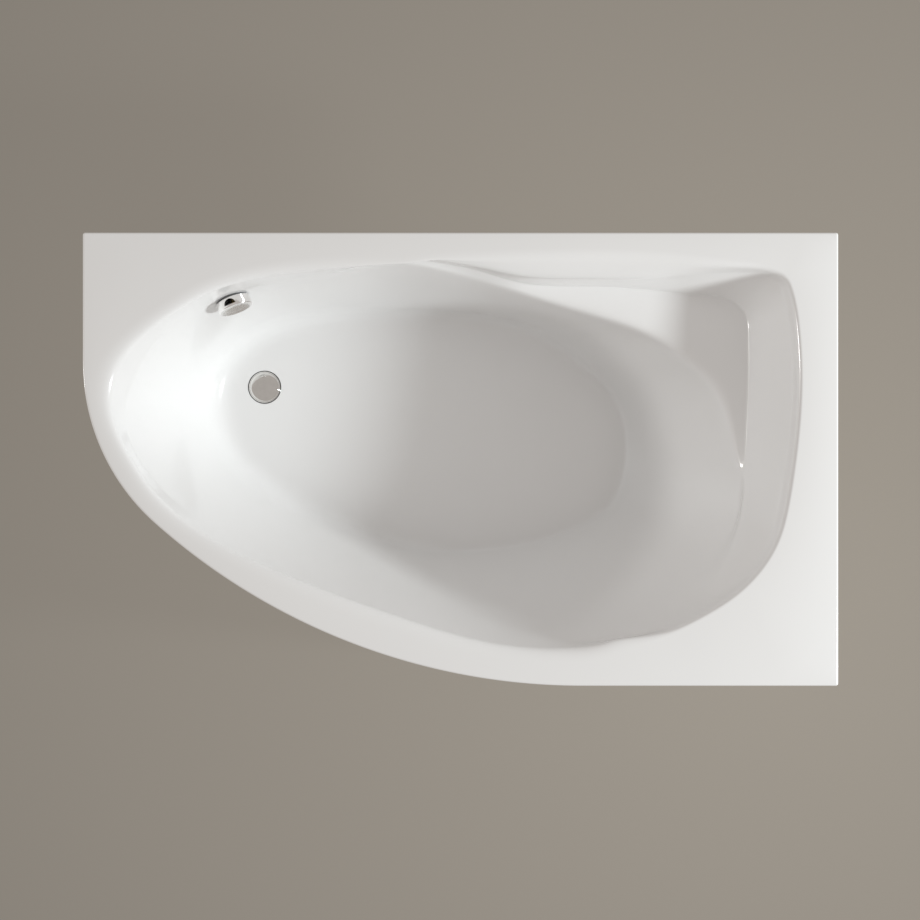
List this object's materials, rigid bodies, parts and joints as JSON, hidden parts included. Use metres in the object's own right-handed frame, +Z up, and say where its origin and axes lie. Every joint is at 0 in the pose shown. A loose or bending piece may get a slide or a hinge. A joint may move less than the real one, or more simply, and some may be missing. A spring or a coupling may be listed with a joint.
{
  "type": "corner bathtub",
  "caption": "Asymmetric acrylic corner bathtub with a moulded corner seat, apron, screw feet, lifting drain plug and a turning overflow knob.",
  "frame": {"origin": "on the floor under the middle of the bounding box", "axes": "+X along the long wall towards the wide end, +Y towards the long wall, +Z up"},
  "size_m": [1.5, 0.9, 0.57],
  "materials": {
    "acrylic": "gloss",
    "board": "matte",
    "timber": "matte",
    "steel": "satin",
    "foot_plastic": "matte",
    "rubber": "matte",
    "chrome": "polished",
    "brass": "satin",
    "pipe_plastic": "satin",
    "fitting_plastic": "satin",
    "hose_plastic": "satin"
  },
  "bodies": {
    "tub": {"bath_shell": "acrylic", "base_board": "board", "foot_end_channel": "steel", "head_end_channel": "steel", "channel_screws": "steel", "foot_nuts": "steel", "corner_block": "timber", "rim_batten_back": "timber", "rim_batten_side": "timber", "wall_brackets_back": "steel", "wall_brackets_side": "steel", "bracket_screws": "steel", "front_panel": "acrylic", "panel_blocks": "timber", "panel_clips": "steel", "panel_clip_screws": "steel", "panel_stays": "steel", "stay_screws": "steel", "flange_gasket": "rubber", "waste_flange": "chrome", "body_gasket": "rubber", "waste_body": "pipe_plastic", "lever_pin": "steel", "trap_drum": "pipe_plastic", "trap_nut": "pipe_plastic", "trap_cap": "pipe_plastic", "outlet_pipe": "pipe_plastic", "outlet_nut": "pipe_plastic", "overflow_face": "fitting_plastic", "overflow_gasket": "rubber", "overflow_body": "pipe_plastic", "overflow_hose": "hose_plastic", "hose_nuts": "fitting_plastic", "bowden_cable": "rubber", "cable_glands": "fitting_plastic"},
    "knob": {"overflow_knob": "chrome", "knob_spindle": "brass", "cable_wheel": "fitting_plastic"},
    "plug": {"waste_plug": "chrome", "plug_seal": "rubber", "plug_stem": "brass"},
    "lever": {"lift_lever": "pipe_plastic"},
    "foot_1": {"foot_rod_1": "steel", "foot_pad_1": "foot_plastic"},
    "foot_2": {"foot_rod_2": "steel", "foot_pad_2": "foot_plastic"},
    "foot_3": {"foot_rod_3": "steel", "foot_pad_3": "foot_plastic"},
    "foot_4": {"foot_rod_4": "steel", "foot_pad_4": "foot_plastic"},
    "foot_5": {"foot_rod_5": "steel", "foot_pad_5": "foot_plastic"}
  },
  "joints": [
    {"name": "knob_turn", "type": "hinge", "parent": "tub", "child": "knob", "pos_m": [-0.462, 0.32629, 0.465], "axis": [0.3494, -0.9153, 0.2004], "range_deg": [0, 120]},
    {"name": "plug_lift", "type": "slide", "parent": "tub", "child": "plug", "axis": [0, 0, 1], "range_m": [0, 0.01]},
    {"name": "lever_tilt", "type": "hinge", "parent": "tub", "child": "lever", "pos_m": [-0.438, 0.153, 0.106], "axis": [0, -1, 0], "range_deg": [0, 26.3]},
    {"name": "foot_1_height", "type": "slide", "parent": "tub", "child": "foot_1", "axis": [0, 0, -1], "range_m": [0, 0.025]},
    {"name": "foot_2_height", "type": "slide", "parent": "tub", "child": "foot_2", "axis": [0, 0, -1], "range_m": [0, 0.025]},
    {"name": "foot_3_height", "type": "slide", "parent": "tub", "child": "foot_3", "axis": [0, 0, -1], "range_m": [0, 0.025]},
    {"name": "foot_4_height", "type": "slide", "parent": "tub", "child": "foot_4", "axis": [0, 0, -1], "range_m": [0, 0.025]},
    {"name": "foot_5_height", "type": "slide", "parent": "tub", "child": "foot_5", "axis": [0, 0, -1], "range_m": [0, 0.025]}
  ],
  "couplings": [
    {"joint": "plug_lift", "follows": "knob_turn", "m_per_rad": 0.004774},
    {"joint": "lever_tilt", "follows": "knob_turn", "ratio": 0.2189}
  ]
}
